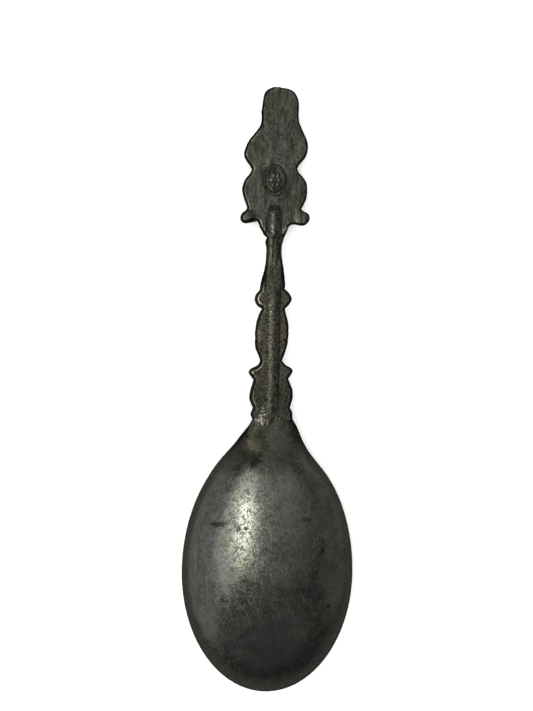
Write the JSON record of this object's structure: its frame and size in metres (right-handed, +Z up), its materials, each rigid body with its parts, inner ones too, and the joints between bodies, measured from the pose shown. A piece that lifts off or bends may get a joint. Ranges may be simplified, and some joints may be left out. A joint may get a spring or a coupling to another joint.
{
  "type": "souvenir spoon",
  "caption": "Cast pewter spoon lying face down: egg-shaped bowl, lobed flat stem with a low rounded rib, and a flat-backed finial plaque on a tang and socket.",
  "frame": {"origin": "middle of the spoon's length and width, on the surface that it lies on", "axes": "+Y from the bowl's tip to the finial's top, +Z up through the convex back"},
  "size_m": [0.0508, 0.18, 0.0146],
  "materials": {
    "pewter": "aged dark grey pewter, worn and mottled",
    "solder": "dull soft solder, filed rough"
  },
  "bodies": {
    "root": {"bowl": "pewter", "stem": "pewter", "finial": "pewter", "neck_solder": "solder", "bowl_solder": "solder"}
  },
  "joints": []
}
